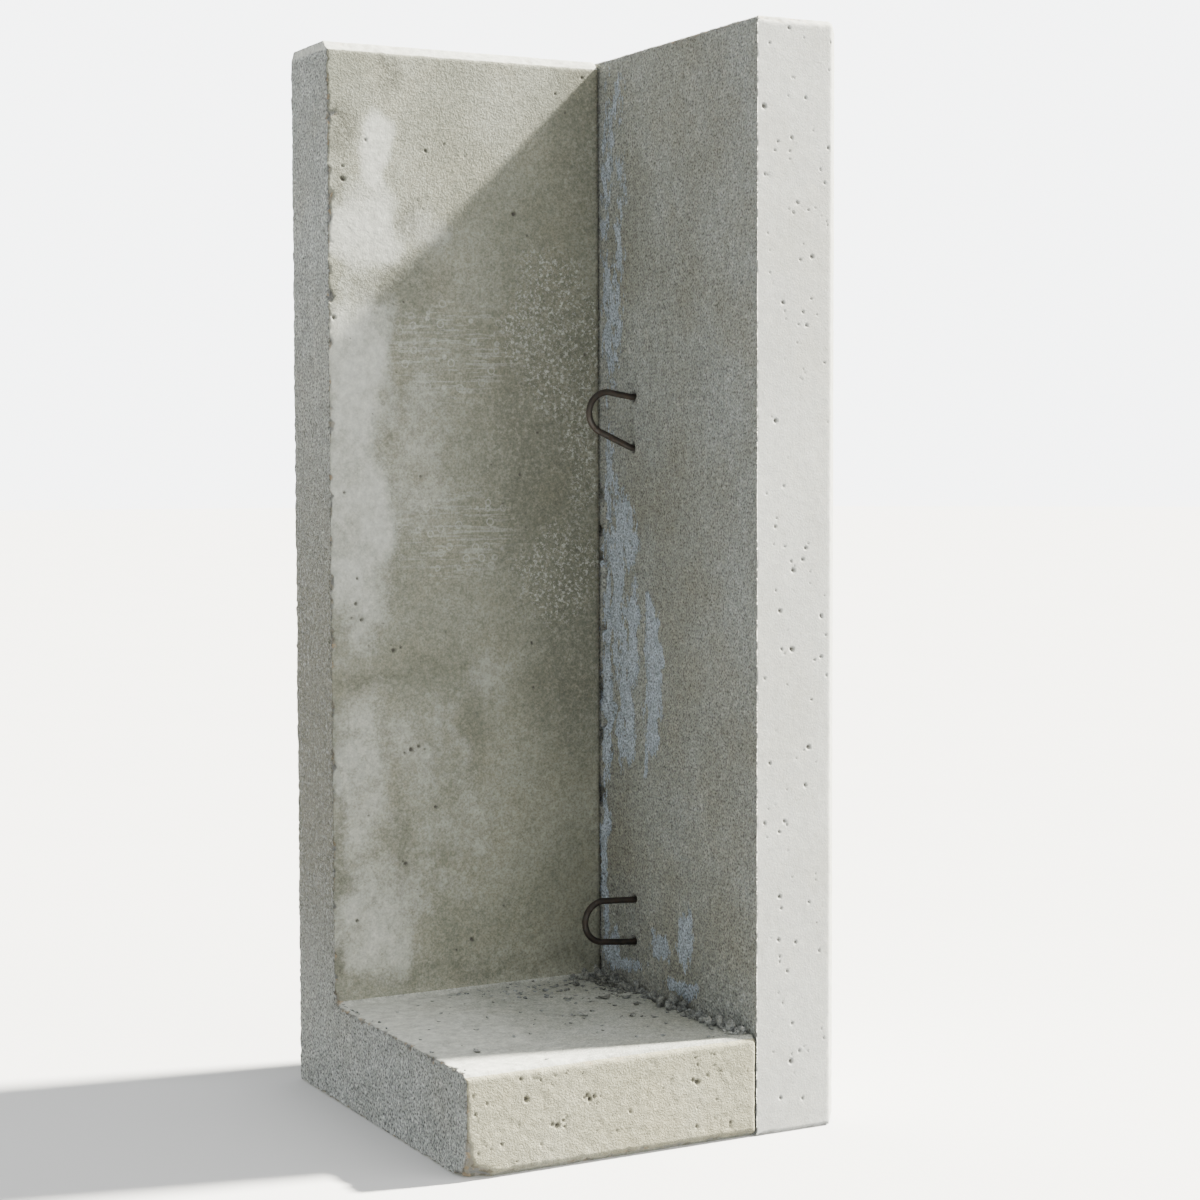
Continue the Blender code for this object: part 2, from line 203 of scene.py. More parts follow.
@dataclass
class Edge:
    """A chamfer between two planes, worn and chipped beyond its nominal width.

    Each plane is (axis, outward, place). The edge runs from start to end along the third axis.
    Its wear is about wear deep in lumps of size lump, and each chip is (middle, length, depth).
    """

    planes: tuple
    start: float
    end: float
    width: float
    wear: float = 0.0004
    lump: float = 0.010
    cell: float = MEDIUM_CELL
    chips: list = field(default_factory=list)

    @property
    def along(self):
        return ({0, 1, 2} - {self.planes[0][0], self.planes[1][0]}).pop()

    def depths(self, points):
        """How far inside each of its two planes the points are."""
        return [(place - points[:, axis]) * outward for axis, outward, place in self.planes]

    def beside(self, points, reach):
        """Which points are within reach of the edge."""
        near = [(depth > -EDGE_SLACK) & (depth < reach) for depth in self.depths(points)]
        run = points[:, self.along]
        return near[0] & near[1] & (run > self.start - ON_PLANE) & (run < self.end + ON_PLANE)


def depth_of_holes(points, side):
    """Depth and cover of the air holes in a side, the cover darkened later as painted shade; each
    hole is (place, place, radius).
    """
    depth = np.zeros(len(points))
    cover = np.zeros(len(points))
    flat = points[:, side.across]
    for first, second, radius in side.holes:
        near = np.flatnonzero(np.all(np.abs(flat - (first, second)) < 2 * radius, axis=1))
        away = np.hypot(flat[near, 0] - first, flat[near, 1] - second)
        away *= 1 + 0.35 * smooth_noise(points[near], radius * 0.9, SEED)
        inside = fade(away, radius * 1.15, radius * 0.55)
        depth[near] = np.maximum(depth[near], inside * min(radius * 1.1, HOLE_DEPTH_LIMIT))
        cover[near] = np.maximum(cover[near], inside)
    return depth, cover


# Meshing

def grid_lines(*corners):
    """Lines through all the corners, about a coarse cell apart."""
    runs = []
    for low, high in zip(corners, corners[1:]):
        count = max(1, round((high - low) / COARSE_CELL))
        runs.append(np.linspace(low, high, count, endpoint=False))
    return np.concatenate([*runs, corners[-1:]])


def block_shell(lines, filled):
    """A closed mesh of the faces between the filled cells of a grid and the empty ones."""
    padded = np.pad(filled, 1).astype(int)
    shape = bmesh.new()
    made = {}

    def vertex(index):
        if index not in made:
            made[index] = shape.verts.new([lines[axis][index[axis]] for axis in range(3)])
        return made[index]

    for axis in range(3):
        second, third = (axis + 1) % 3, (axis + 2) % 3
        change = np.diff(padded, axis=axis)
        for place in np.argwhere(change):
            corners = []
            for right, up in ((0, 0), (1, 0), (1, 1), (0, 1)):
                index = [0, 0, 0]
                index[axis] = int(place[axis])
                index[second] = int(place[second]) - 1 + right
                index[third] = int(place[third]) - 1 + up
                corners.append(vertex(tuple(index)))
            if change[tuple(place)] > 0:
                corners.reverse()
            shape.faces.new(corners)
    return shape


def wanted_cell(centers, sides, edges):
    """The cell size asked for at each face centre."""
    wanted = np.full(len(centers), COARSE_CELL)
    for side in sides:
        on_side = side.holds(centers)
        wanted[on_side] = np.minimum(wanted[on_side], side.cell)
        flat = centers[:, side.across]
        for first, second, radius in side.holes:
            away = np.hypot(flat[:, 0] - first, flat[:, 1] - second)
            asked = np.maximum(radius * 0.45, 0.0012) + 0.5 * np.maximum(away - 1.5 * radius, 0)
            wanted[on_side] = np.minimum(wanted[on_side], asked[on_side])
    for edge in edges:
        near = edge.beside(centers, EDGE_REACH)
        away = np.maximum(*edge.depths(centers))
        asked = edge.cell + 0.5 * np.maximum(away - edge.width - EDGE_BAND, 0)
        wanted[near] = np.minimum(wanted[near], asked[near])
    return wanted


def refine(shape, sides, edges):
    """Halves each four-sided face until it is about as small as wanted there."""
    for _ in range(HALVINGS):
        faces = [face for face in shape.faces if len(face.verts) == 4]
        centers = np.array([face.calc_center_median() for face in faces])
        longest = np.array([max(edge.calc_length() for edge in face.edges) for face in faces])
        large = longest > OVERSIZE * wanted_cell(centers, sides, edges)
        chosen = {edge for face, big in zip(faces, large) if big for edge in face.edges}
        bmesh.ops.subdivide_edges(shape, edges=list(chosen), cuts=1, use_grid_fill=True)


def wear_depth(edge, points):
    """How much further than its nominal width the edge is cut, along its slope."""
    lumps = rough_noise(points, edge.lump, SEED + 20)
    fine = rough_noise(points, edge.lump / 4, SEED + 30)
    depth = edge.wear * (0.7 + 1.6 * np.maximum(lumps, -0.2) + 0.5 * fine)
    run = points[:, edge.along]
    for middle, length, deep in edge.chips:
        away = np.abs(run - middle) / (length / 2)
        uneven = 1 + 0.3 * smooth_noise(points, length / 3, SEED + 40)
        depth += deep * np.clip(1 - away**2, 0, 1) * uneven
    return np.maximum(depth, 0)


def cut_edge(points, original, edge):
    """Moves what lies beyond the worn chamfer onto it, and returns how much of that is wear."""
    slope = np.zeros(3)
    for axis, outward, _ in edge.planes:
        slope[axis] = outward / math.sqrt(2)
    beside = np.flatnonzero(edge.beside(original, EDGE_REACH))
    corner = sum(outward * place for _, outward, place in edge.planes) / math.sqrt(2)
    wear = wear_depth(edge, original[beside])
    limit = corner - edge.width / math.sqrt(2) - wear
    excess = np.maximum(points[beside] @ slope - limit, 0)
    points[beside] -= excess[:, None] * slope
    broken = np.zeros(len(points))
    broken[beside] = fade(np.minimum(excess, wear), *BROKEN_DEPTHS)
    return broken


def add_piece(name, mesh, node=None):
    """Makes a mesh a piece of the part, in place of a CAD node if one is named."""
    piece = bpy.data.objects.new(name, mesh)
    bpy.context.collection.objects.link(piece)
    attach(piece, BODY)
    if node:
        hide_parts(node)


def write_attribute(mesh, name, values):
    layer = mesh.attributes.new(name, "FLOAT", "POINT")
    layer.data.foreach_set("value", values.astype(np.float32))


def build_casting(name, node, shape, sides, edges, materials, paint, reshape=None):
    """A casting's fine mesh: relief and holes on its sides, its edges, then its attributes."""
    refine(shape, sides, edges)
    shape.verts.ensure_lookup_table()
    original = np.array([vertex.co for vertex in shape.verts])
    points = original.copy()
    holes = np.zeros(len(points))
    for side in sides:
        on_side = np.flatnonzero(side.holds(original))
        here = original[on_side]
        depth = side.relief(here) if side.relief else np.zeros(len(here))
        hole_depth, cover = depth_of_holes(here, side)
        points[on_side, side.axis] -= side.outward * np.maximum(depth + hole_depth, 0)
        holes[on_side] = np.maximum(holes[on_side], cover)
    if reshape:
        points = reshape(points, original)
    broken = np.zeros(len(points))
    for edge in edges:
        broken = np.maximum(broken, cut_edge(points, original, edge))

    centers = np.array([face.calc_center_median() for face in shape.faces])
    looks = list(dict.fromkeys(side.material for side in sides))
    shape.faces.ensure_lookup_table()
    for side in sides:
        for face in np.flatnonzero(side.holds(centers)):
            shape.faces[face].material_index = looks.index(side.material)
    mesh = bpy.data.meshes.new(name)
    shape.to_mesh(mesh)
    shape.free()
    mesh.vertices.foreach_set("co", points.astype(np.float32).ravel())
    for look in looks:
        mesh.materials.append(materials[look])
    # Hole cover, which the materials darken as painted shade
    write_attribute(mesh, "hole", holes)
    write_attribute(mesh, "broken", broken)
    for attribute, values in paint(original).items():
        write_attribute(mesh, attribute, values)
    mesh.shade_smooth()
    mesh.update()
    add_piece(name, mesh, node)


# Relief of each kind of side, as depth below the CAD plane

POUR_DEPTH = 0.0024  # mean depth of the pour's rough top
TROWEL_DEPTH = 0.0022  # mean depth of the trowelled face
TROWEL_CENTER = (0.13, 0.10, 0.55)  # the trowel swept round this point of the panel

PATCH_LUMP = 0.03  # size of the bays and bulges in a patch's outline
PATCH_SEED = 50

# Each patch is (place, place, half width, half height, strength); these lie along Y and Z
SLURRY_PATCHES = [
    (0.008, 0.605, 0.011, 0.026, 1.0), (-0.008, 0.562, 0.020, 0.034, 1.0),
    (-0.003, 0.500, 0.018, 0.050, 1.0), (-0.006, 0.440, 0.016, 0.026, 1.0),
    (0.008, 0.412, 0.006, 0.022, 0.9), (0.046, 0.560, 0.014, 0.070, 0.95),
    (0.056, 0.455, 0.015, 0.046, 0.95), (0.074, 0.490, 0.012, 0.090, 0.8),
    (0.086, 0.620, 0.020, 0.100, 0.8), (0.070, 0.700, 0.030, 0.050, 0.75),
    (0.105, 0.760, 0.016, 0.080, 0.50), (0.100, 0.960, 0.024, 0.070, 0.55),
    (0.114, 1.090, 0.014, 0.240, 0.45), (0.080, 1.050, 0.012, 0.050, 0.50),
    (0.086, 1.245, 0.014, 0.030, 0.50), (0.074, 1.150, 0.018, 0.040, 0.45),
    (0.116, 0.520, 0.014, 0.160, 0.75), (0.122, 0.260, 0.008, 0.130, 0.85),
    (-0.080, 0.206, 0.019, 0.036, 1.0), (-0.020, 0.180, 0.024, 0.020, 0.85),
    (0.100, 0.160, 0.024, 0.020, 0.85), (0.060, 0.148, 0.040, 0.010, 0.75),
    (-0.070, 0.140, 0.040, 0.010, 0.8),
]
JOINT_CRUST = [(0.116, 0.480, 0.018, 0.220, 1.0), (0.120, 0.700, 0.010, 0.040, 0.8)]


def soft_patches(points, patches, axes, blur=0.35, warp=0.02):
    """Cover from 0 to 1 of soft uneven ovals that lie along the two axes."""
    shift = [smooth_noise(points, PATCH_LUMP, PATCH_SEED + number) for number in range(2)]
    flat = points[:, axes] + warp * np.stack(shift, axis=1)
    cover = np.zeros(len(points))
    for first, second, wide, tall, strength in patches:
        away = np.hypot((flat[:, 0] - first) / wide, (flat[:, 1] - second) / tall)
        cover = np.maximum(cover, strength * fade(away, 1 + blur, 1 - blur))
    return cover


def mould_relief(points):
    """A mould face: nearly flat, with faint waves."""
    return 0.0004 + 0.0002 * rough_noise(points, 0.12, 1) + 0.00008 * smooth_noise(points, 0.012, 2)


def pitted_relief(points):
    """A mould face that kept a skin of small air bubbles."""
    bubbles = np.maximum(smooth_noise(points, 0.005, 13) - 0.35, 0)
    return mould_relief(points) + 0.0012 * bubbles


def pour_relief(points):
    """The top of the pour: screeded, then left rough, with level ridges across the foot."""
    waves = 0.0006 * rough_noise(points, 0.05, 3)
    grain = 0.0010 * rough_noise(points, 0.009, 5)
    in_foot = fade(points[:, 2], FOOT_TOP + 0.02, FOOT_TOP - 0.03)
    ridges = in_foot * 0.0010 * rough_noise(points, (1, 0.030, 0.006), 15)
    return np.maximum(POUR_DEPTH + waves + grain + ridges, SKIN)


def crust_lumps(points):
    """Lumps and, where positive, crevices of the torn crust beside the joint."""
    crust = soft_patches(points, JOINT_CRUST, [1, 2], 0.3)
    return crust * rough_noise(points, (0.01, 0.010, 0.018), 17)


def trowel_relief(points):
    """The panel's inner face: sweeps of a trowel, raised slurry and a torn crust at the joint."""
    offset = points - TROWEL_CENTER
    radius = np.hypot(offset[:, 1], offset[:, 2])
    turn = np.arctan2(offset[:, 2], offset[:, 1])
    swept = np.stack([radius, turn * 0.25, np.zeros(len(points))], axis=1)
    sweep_depth = 0.0004 + 0.0007 * fade(points[:, 2], 0.60, 0.40)
    sweeps = sweep_depth * rough_noise(swept, (0.008, 0.06, 1), 7)
    grain = 0.0010 * rough_noise(points, 0.008, 9)
    waves = 0.0004 * rough_noise(points, 0.08, 11)
    slurry = 0.0007 * soft_patches(points, SLURRY_PATCHES, [1, 2], 0.3, 0.012)
    crevices = 0.0120 * np.maximum(crust_lumps(points), 0)
    return np.maximum(TROWEL_DEPTH + sweeps + grain + waves - slurry + crevices, SKIN)


def scattered(count, low, high, smallest, largest, seed):
    """Places and radii of small air holes, most of them near the smallest size."""
    random = np.random.default_rng(seed)
    firsts = random.uniform(low[0], high[0], count)
    seconds = random.uniform(low[1], high[1], count)
    radii = smallest + (largest - smallest) * random.random(count) ** 3
    return list(zip(firsts, seconds, radii))


# Castings

def paint_stem_and_foot(points):
    """Laitance and stains, with painted light and painted shade among them, and water marks of the
    L-shaped casting.
    """
    on_stem = (np.abs(points[:, 1] - STEM_FACE) < ON_PLANE) & (points[:, 2] > FOOT_TOP)
    on_foot = (points[:, 1] < STEM_FACE) & (points[:, 2] > FOOT_TOP - ON_PLANE)
    # Laitance patches on the stem; the pale band down its left side is partly painted light, where
    # more light reaches the stem away from the panel.
    laitance_and_light = [
        (-0.178, 1.170, 0.022, 0.050, 1.0), (-0.192, 1.075, 0.050, 0.060, 0.9),
        (-0.120, 1.075, 0.040, 0.030, 0.5), (-0.205, 0.900, 0.050, 0.110, 0.85),
        (-0.205, 0.710, 0.050, 0.160, 0.75), (-0.120, 0.800, 0.040, 0.120, 0.40),
        (-0.205, 0.400, 0.045, 0.120, 0.55), (-0.110, 0.440, 0.060, 0.070, 0.40),
        (-0.030, 0.515, 0.040, 0.030, 0.45), (-0.185, 0.220, 0.070, 0.080, 0.60),
        (-0.080, 0.300, 0.060, 0.080, 0.35),
    ]
    # Stains on the stem, with painted shade among them: the long thin one just above the fillet
    # lies along the inner corner, and the broad last ones darken the stem beside the panel, which
    # shades it.
    stains_and_corner_shade = [
        (-0.222, 1.200, 0.018, 0.035, 1.0), (-0.166, 1.262, 0.014, 0.025, 0.8),
        (-0.235, 1.120, 0.010, 0.020, 0.8), (-0.125, 1.090, 0.020, 0.026, 0.8),
        (-0.168, 1.010, 0.032, 0.020, 0.7), (-0.110, 1.000, 0.040, 0.030, 0.5),
        (-0.235, 0.953, 0.012, 0.022, 1.0), (-0.190, 0.520, 0.050, 0.012, 0.7),
        (-0.100, 0.530, 0.050, 0.010, 0.5), (-0.045, 0.450, 0.020, 0.050, 0.5),
        (-0.234, 0.330, 0.010, 0.100, 0.8), (-0.232, 0.170, 0.012, 0.035, 0.9),
        (-0.155, 0.320, 0.010, 0.060, 0.6), (0.020, 0.145, 0.230, 0.010, 0.5),
        # Broad painted shade on the stem beside the panel.
        (0.060, 0.800, 0.110, 0.260, 0.80), (0.090, 0.560, 0.070, 0.160, 0.85),
        (0.110, 1.180, 0.050, 0.120, 0.60), (0.085, 0.350, 0.070, 0.100, 0.25),
        (-0.040, 0.640, 0.100, 0.080, 0.25),
    ]
    marks = [(-0.075, 0.925, 0.085, 0.055, 1.0), (-0.080, 0.700, 0.080, 0.060, 0.9)]
    flecks = [(0.070, 0.950, 0.060, 0.090, 1.0), (0.105, 0.830, 0.020, 0.120, 0.8),
              (0.070, 0.640, 0.060, 0.060, 0.6)]
    # Painted shade on the foot's top, darker towards the stem in the inner corner.
    haunch_shade = fade(points[:, 1], STEM_FACE - 0.035, STEM_FACE) * on_foot * 0.35
    on_end = np.abs(points[:, 0] - LEFT) < ON_PLANE
    end_stain = on_end * fade(points[:, 2], 1.10, 0.45) * fade(points[:, 2], 0.0, 0.35) * 1.5
    # Painted highlight: the top and its chamfers paler, where the light falls on them.
    top_highlight = fade(points[:, 2], TOP - STEM_TOP_CHAMFER * 1.05, TOP - STEM_TOP_CHAMFER * 0.9)
    # Laitance and painted light on the foot's top, paler away from the panel, whose shade falls
    # towards it.
    foot_skin_and_light = on_foot * fade(points[:, 0], 0.05, -0.20) * 0.8
    axes = [0, 2]
    stem_skin_and_light = on_stem * soft_patches(points, laitance_and_light, axes, 0.5)
    stem_stain_and_shade = on_stem * soft_patches(points, stains_and_corner_shade, axes, 0.6)
    # Laitance with painted light, and stains with painted shade, go out as attributes.
    return {
        "laitance_and_light": np.maximum(np.maximum(stem_skin_and_light, top_highlight), foot_skin_and_light),
        "stain_and_shade": np.maximum(stem_stain_and_shade, haunch_shade + end_stain),
        "marks": on_stem * soft_patches(points, marks, axes),
        "flecks": on_stem * soft_patches(points, flecks, axes, 0.6),
        "slurry": np.zeros(len(points)),
    }


def paint_side_panel(points):
    """Slurry, damp marks and painted shade in the crust's crevices of the side panel."""
    inner = np.abs(points[:, 0] - PANEL_FACE) < ON_PLANE
    damp = [(0.070, 0.300, 0.050, 0.200, 0.30), (0.060, 1.080, 0.050, 0.090, 0.30),
            (0.000, 0.760, 0.120, 0.150, 0.30), (-0.060, 0.900, 0.100, 0.120, 0.25)]
    # Painted shade in the crevices of the torn crust beside the joint
    crevices = fade(crust_lumps(points), 0.05, 0.30)
    stain_and_shade = np.maximum(soft_patches(points, damp, [1, 2], 0.7), 0.8 * crevices)
    nothing = np.zeros(len(points))
    return {
        "laitance_and_light": nothing,
        "stain_and_shade": inner * stain_and_shade,
        "marks": nothing,
        "flecks": nothing,
        "slurry": inner * soft_patches(points, SLURRY_PATCHES, [1, 2], 0.7, 0.012),
    }


def round_haunch(points, original):
    """Fills the inner corner between stem and foot with its fillet."""
    center = np.array([STEM_FACE - HAUNCH_RADIUS, FOOT_TOP + HAUNCH_RADIUS])
    offset = original[:, 1:] - center
    on_foot = np.abs(offset[:, 1] + HAUNCH_RADIUS) < ON_PLANE
    on_stem = np.abs(offset[:, 0] - HAUNCH_RADIUS) < ON_PLANE
    inside = on_foot & (offset[:, 0] > 0) & (offset[:, 0] < HAUNCH_RADIUS + ON_PLANE)
    inside |= on_stem & (offset[:, 1] < 0) & (offset[:, 1] > -HAUNCH_RADIUS - ON_PLANE)
    offset = points[inside, 1:] - center
    points[inside, 1:] = center + offset * (HAUNCH_RADIUS / np.hypot(*offset.T))[:, None]
    return points


def build_stem_and_foot(materials):
    """The L-shaped casting: mould faces, and its left end as the rough top of the pour."""
    lines = [
        grid_lines(LEFT, JOINT),
        grid_lines(FRONT, STEM_FACE, BACK),
        grid_lines(GROUND, FOOT_TOP, TOP),
    ]
    middles = [(line[1:] + line[:-1]) / 2 for line in lines]
    _, y, z = np.meshgrid(*middles, indexing="ij")
    shape = block_shell(lines, (y > STEM_FACE) | (z < FOOT_TOP))
    stem_holes = [
        (-0.113, 1.173, 0.0022), (-0.223, 1.149, 0.0018), (-0.223, 1.133, 0.0032),
        (0.009, 1.100, 0.0034), (0.107, 1.277, 0.0018), (0.068, 1.254, 0.0015),
        (0.028, 1.074, 0.0017), (-0.224, 0.752, 0.0020), (-0.208, 0.646, 0.0022),
        (-0.210, 0.615, 0.0030), (-0.203, 0.595, 0.0026), (-0.160, 0.556, 0.0030),
        (-0.137, 0.430, 0.0036), (0.110, 0.925, 0.0018), (0.041, 0.825, 0.0020),
        (0.016, 0.772, 0.0020), (0.032, 0.557, 0.0024), (-0.055, 0.183, 0.0030),
        (-0.216, 0.598, 0.0018), (-0.151, 0.559, 0.0020), (-0.164, 0.562, 0.0014),
        (-0.127, 0.434, 0.0024), (-0.146, 0.427, 0.0020), (-0.119, 0.430, 0.0014),
        (-0.212, 0.222, 0.0024), (-0.146, 0.288, 0.0028), (-0.104, 0.356, 0.0024),
        (0.034, 0.500, 0.0018), (-0.010, 0.222, 0.0018), (-0.236, 0.965, 0.0026),
    ]
    stem_holes += scattered(60, (LEFT + 0.02, 0.15), (JOINT - 0.01, TOP - 0.03), 0.0008, 0.0020, 3)
    front_holes = [
        (-0.089, 0.073, 0.0030), (0.051, 0.075, 0.0030), (0.045, 0.078, 0.0024),
        (-0.170, 0.083, 0.0030), (-0.131, 0.049, 0.0030), (-0.137, 0.051, 0.0020),
        (-0.093, 0.078, 0.0024), (-0.084, 0.076, 0.0020), (-0.176, 0.107, 0.0018),
        (-0.200, 0.037, 0.0016), (-0.232, 0.074, 0.0016),
    ]
    front_holes += scattered(50, (LEFT + 0.01, 0.015), (JOINT - 0.01, 0.11), 0.0008, 0.0020, 5)
    back_holes = scattered(60, (LEFT + 0.02, 0.03), (JOINT - 0.02, TOP - 0.03), 0.0014, 0.0040, 6)
    low, high = (LEFT, FRONT, GROUND), (JOINT, BACK, TOP)
    sides = [
        Side(0, -1, low, high, "pour_face", FINE_CELL, pour_relief),
        Side(0, 1, low, high, "mould_face"),
        Side(1, -1, (LEFT, STEM_FACE, FOOT_TOP), high, "mould_face", MEDIUM_CELL, mould_relief,
             stem_holes),
        Side(1, -1, low, (JOINT, BACK, FOOT_TOP), "foot_face", FINE_CELL, pitted_relief,
             front_holes),
        Side(1, 1, low, high, "mould_face", COARSE_CELL, mould_relief, back_holes),
        Side(2, -1, low, high, "mould_face", COARSE_CELL, mould_relief),
        Side(2, 1, (LEFT, STEM_FACE, GROUND), high, "mould_face", MEDIUM_CELL, mould_relief),
        Side(2, 1, low, (JOINT, STEM_FACE, FOOT_TOP), "foot_top", MEDIUM_CELL, mould_relief),
    ]
    left, joint = (0, -1, LEFT), (0, 1, JOINT)
    stem, front, back = (1, -1, STEM_FACE), (1, -1, FRONT), (1, 1, BACK)
    ground, foot, top = (2, -1, GROUND), (2, 1, FOOT_TOP), (2, 1, TOP)
    foot_chips = [(y, 0.016, 0.0035) for y in (-0.215, -0.160, -0.095, -0.020, 0.050)]
    end_chips = [
        (1.208, 0.022, 0.004), (1.143, 0.014, 0.003), (1.100, 0.060, 0.0025),
        (0.992, 0.020, 0.0025), (0.935, 0.018, 0.003), (0.836, 0.016, 0.0025),
        (0.567, 0.018, 0.003), (0.412, 0.014, 0.0025),
    ]
    edges = [
        Edge((stem, top), LEFT, JOINT, STEM_TOP_CHAMFER, 0.0006, cell=FINE_CELL),
        Edge((back, top), LEFT, JOINT, STEM_TOP_CHAMFER, 0.0006),
        Edge((front, foot), LEFT, JOINT, FOOT_TOP_CHAMFER, 0.0006, cell=FINE_CELL),
        Edge((front, ground), LEFT, JOINT, FOOT_BOTTOM_CHAMFER, 0.0010, cell=FINE_CELL,
             chips=[(LEFT, 0.07, 0.010)]),
        Edge((back, ground), LEFT, JOINT, 0.003),
        Edge((left, stem), FOOT_TOP, TOP, 0.0015, 0.0028, 0.011, FINEST_CELL, end_chips),
        Edge((left, foot), FRONT, STEM_FACE, 0.0015, 0.0030, 0.009, FINEST_CELL, foot_chips),
        Edge((left, front), GROUND, FOOT_TOP, 0.003, 0.0022, 0.020, FINE_CELL,
             [(GROUND, 0.06, 0.008)]),
        Edge((left, top), STEM_FACE, BACK, 0.001, 0.0010, cell=FINE_CELL),
        Edge((left, back), GROUND, TOP, 0.002, 0.0015),
        Edge((left, ground), FRONT, BACK, 0.002, 0.0022, cell=FINE_CELL,
             chips=[(FRONT, 0.07, 0.008)]),
        Edge((joint, stem), FOOT_TOP, TOP, 0.0008, 0.0003),
        Edge((joint, foot), FRONT, STEM_FACE, 0.0008, 0.0003),
        Edge((joint, front), GROUND, FOOT_TOP, 0.0010, cell=FINE_CELL),
        Edge((joint, top), STEM_FACE, BACK, 0.001),
    ]
    build_casting("stem_and_foot_concrete", "stem_and_foot", shape, sides, edges,
                  materials, paint_stem_and_foot, round_haunch)


def build_side_panel(materials):
    """The side panel: smooth mould faces outside, a trowelled face inside."""
    lines = [
        grid_lines(PANEL_FACE, RIGHT),
        grid_lines(FRONT, STEM_FACE, BACK),
        grid_lines(GROUND, FOOT_TOP, TOP),
    ]
    shape = block_shell(lines, np.ones([len(line) - 1 for line in lines], bool))
    inner_holes = [(0.000, 0.654, 0.002), (-0.145, 0.668, 0.002), (-0.140, 0.498, 0.0024)]
    for loop in LOOPS.values():
        for side in (1, -1):
            leg_height = loop["height"] + side * loop["spacing"] / 2
            inner_holes.append((LOOP_Y, leg_height, LEG_HOLLOW_RADIUS))
    front_holes = [(0.174, 1.287, 0.0018), (0.148, 1.268, 0.0012), (0.232, 1.274, 0.0015)]
    front_holes += scattered(150, (0.14, 0.02), (0.23, TOP - 0.02), 0.0007, 0.0030, 8)
    outer_holes = scattered(50, (FRONT + 0.03, 0.03), (BACK - 0.03, TOP - 0.03), 0.0014, 0.0040, 9)
    low, high = (PANEL_FACE, FRONT, GROUND), (RIGHT, BACK, TOP)
    sides = [
        Side(0, -1, low, high, "trowelled_face", COARSE_CELL, trowel_relief),
        Side(0, -1, (PANEL_FACE, FRONT, FOOT_TOP), (RIGHT, STEM_FACE, TOP), "trowelled_face",
             FINE_CELL, None, inner_holes),
        Side(0, 1, low, high, "smooth_face", COARSE_CELL, mould_relief, outer_holes),
        Side(1, -1, low, high, "smooth_face", MEDIUM_CELL, mould_relief, front_holes),
        Side(1, 1, low, high, "smooth_face", COARSE_CELL, mould_relief),
        Side(2, -1, low, high, "smooth_face", COARSE_CELL, mould_relief),
        Side(2, 1, low, high, "smooth_face", COARSE_CELL, mould_relief),
    ]
    inner, outer = (0, -1, PANEL_FACE), (0, 1, RIGHT)
    front, back = (1, -1, FRONT), (1, 1, BACK)
    ground, top = (2, -1, GROUND), (2, 1, TOP)
    edges = [
        Edge((outer, front), GROUND, TOP, PANEL_FACE_CHAMFER, cell=FINE_CELL),
        Edge((outer, back), GROUND, TOP, PANEL_FACE_CHAMFER),
        Edge((outer, top), FRONT, BACK, PANEL_FACE_CHAMFER),
        Edge((outer, ground), FRONT, BACK, PANEL_FACE_CHAMFER),
        Edge((inner, top), FRONT, BACK, PANEL_TOP_CHAMFER, 0.0012, cell=FINE_CELL),
        Edge((front, top), PANEL_FACE, RIGHT, PANEL_TOP_CHAMFER, 0.0008, cell=FINE_CELL),
        Edge((back, top), PANEL_FACE, RIGHT, PANEL_TOP_CHAMFER, 0.0008),
        Edge((inner, front), GROUND, TOP, 0.001, 0.0010, 0.008, FINEST_CELL),
        Edge((front, ground), PANEL_FACE, RIGHT, 0.002, 0.0015, cell=FINE_CELL),
        Edge((inner, back), GROUND, TOP, 0.002),
        Edge((back, ground), PANEL_FACE, RIGHT, 0.002),
    ]
    build_casting("side_panel_concrete", "side_panel", shape, sides, edges,
                  materials, paint_side_panel)


# Materials

